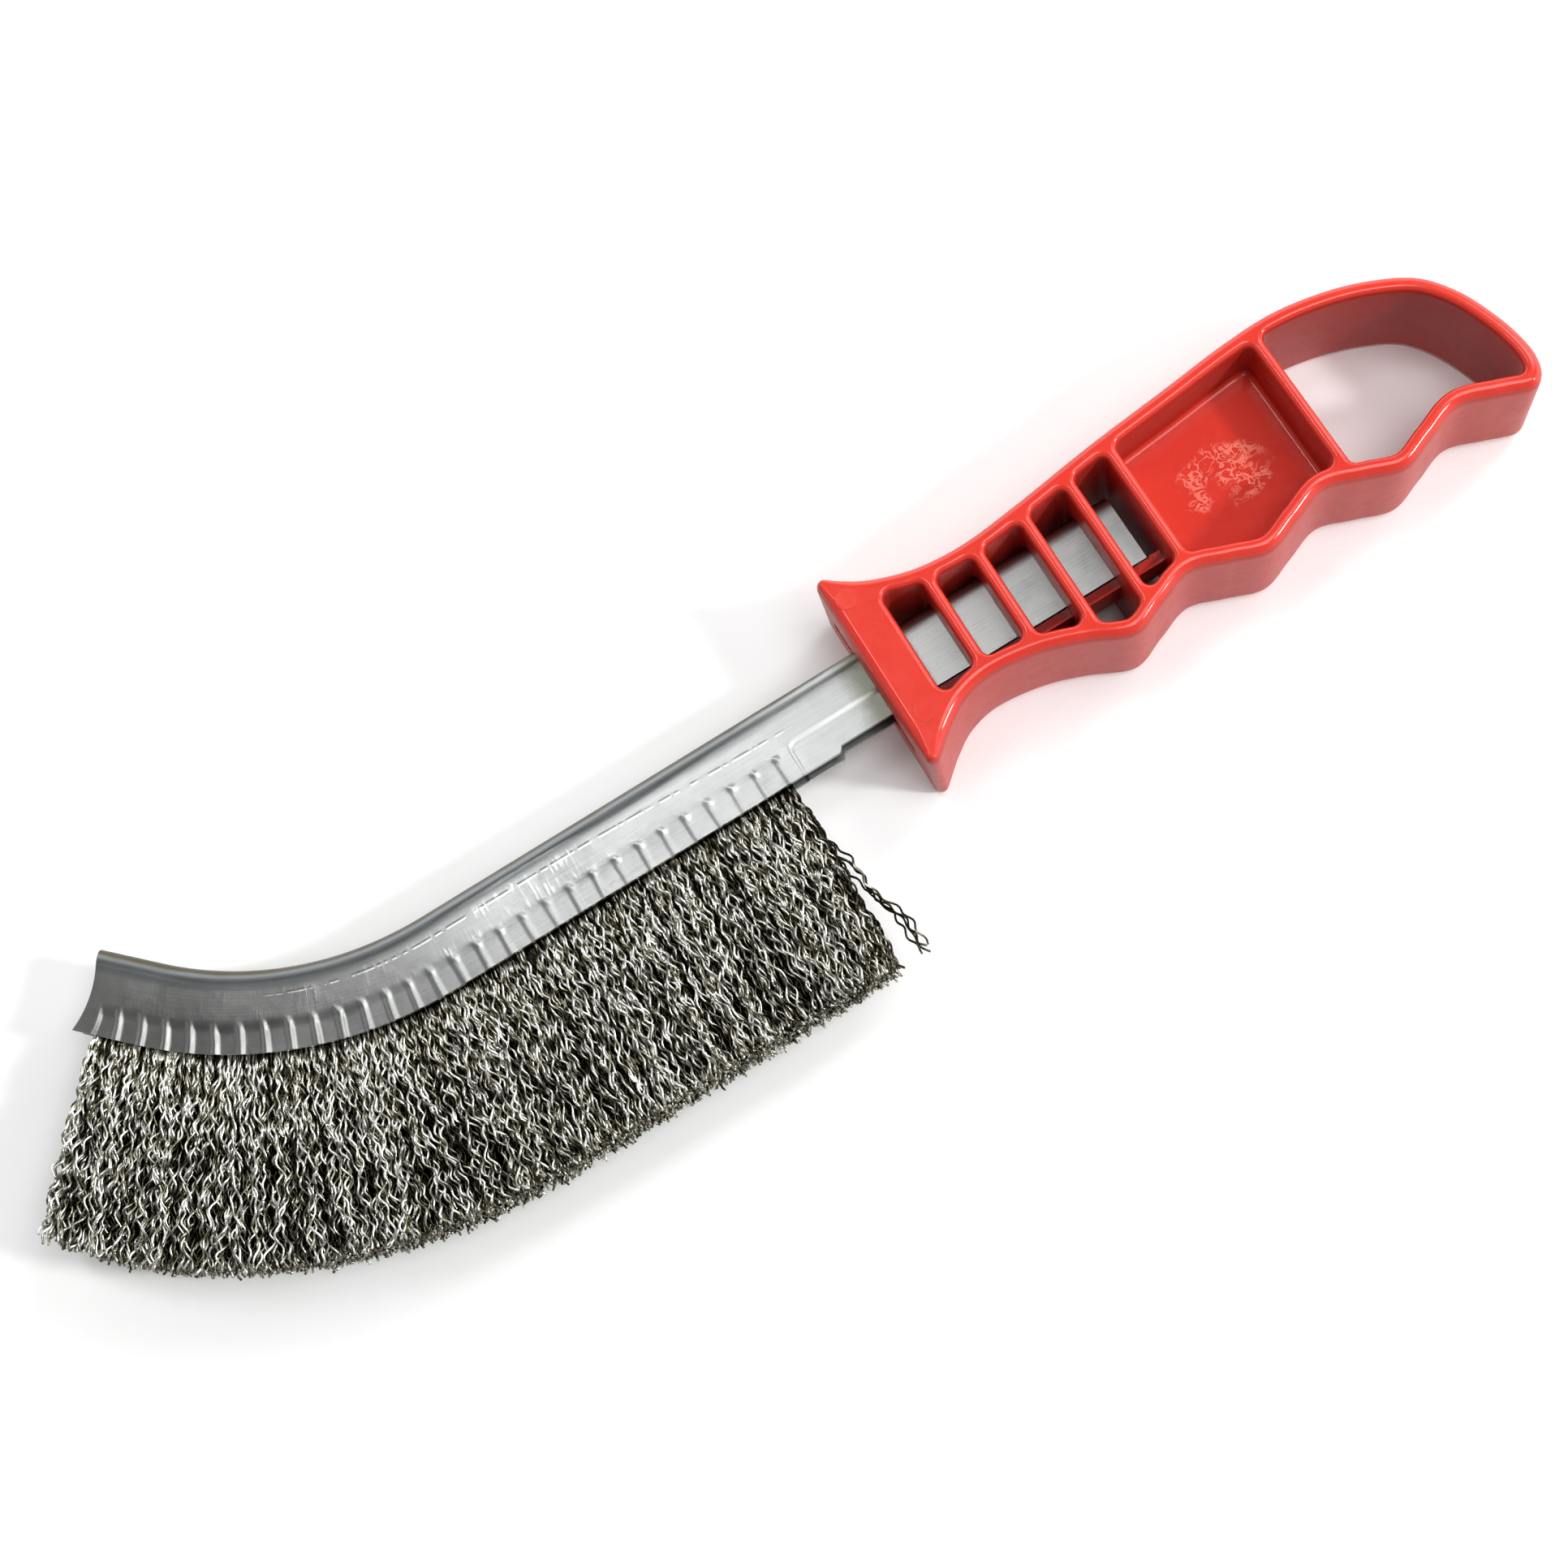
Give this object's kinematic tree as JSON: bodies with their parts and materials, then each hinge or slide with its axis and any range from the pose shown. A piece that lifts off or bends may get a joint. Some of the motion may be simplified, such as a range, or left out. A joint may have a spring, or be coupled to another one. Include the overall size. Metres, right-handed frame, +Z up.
{
  "type": "wire brush",
  "caption": "Hand wire brush: crimped steel wire clamped round a core wire in a curved folded-sheet channel, on an openwork plastic finger-grip handle with a hang loop.",
  "frame": {"origin": "middle of the bottom of the bounding box, with the brush lying on one side", "axes": "+X along the neck towards the hang loop, +Y from the wire towards the spine of the channel, +Z up through the thickness of the handle"},
  "size_m": [0.256, 0.0676, 0.02],
  "materials": {
    "red_plastic": "glossy injection moulding with rounded rims",
    "zinc_steel": "zinc-coated folded sheet, scuffed and creased by the press",
    "core_steel": "plain drawn wire",
    "bristle_wire": "bright crimped carbon steel wire"
  },
  "bodies": {
    "root": {"handle": "red_plastic", "channel": "zinc_steel", "core_wire": "core_steel", "wire_bundle_01": "bristle_wire", "wire_bundle_02": "bristle_wire", "wire_bundle_03": "bristle_wire", "wire_bundle_04": "bristle_wire", "wire_bundle_05": "bristle_wire", "wire_bundle_06": "bristle_wire", "wire_bundle_07": "bristle_wire", "wire_bundle_08": "bristle_wire", "wire_bundle_09": "bristle_wire", "wire_bundle_10": "bristle_wire", "wire_bundle_11": "bristle_wire", "wire_bundle_12": "bristle_wire", "wire_bundle_13": "bristle_wire", "wire_bundle_14": "bristle_wire", "wire_bundle_15": "bristle_wire", "wire_bundle_16": "bristle_wire", "wire_bundle_17": "bristle_wire", "wire_bundle_18": "bristle_wire", "wire_bundle_19": "bristle_wire", "wire_bundle_20": "bristle_wire", "wire_bundle_21": "bristle_wire", "wire_bundle_22": "bristle_wire", "wire_bundle_23": "bristle_wire", "wire_bundle_24": "bristle_wire", "wire_bundle_25": "bristle_wire", "wire_bundle_26": "bristle_wire", "wire_bundle_27": "bristle_wire", "wire_bundle_28": "bristle_wire", "wire_bundle_29": "bristle_wire"}
  },
  "joints": []
}
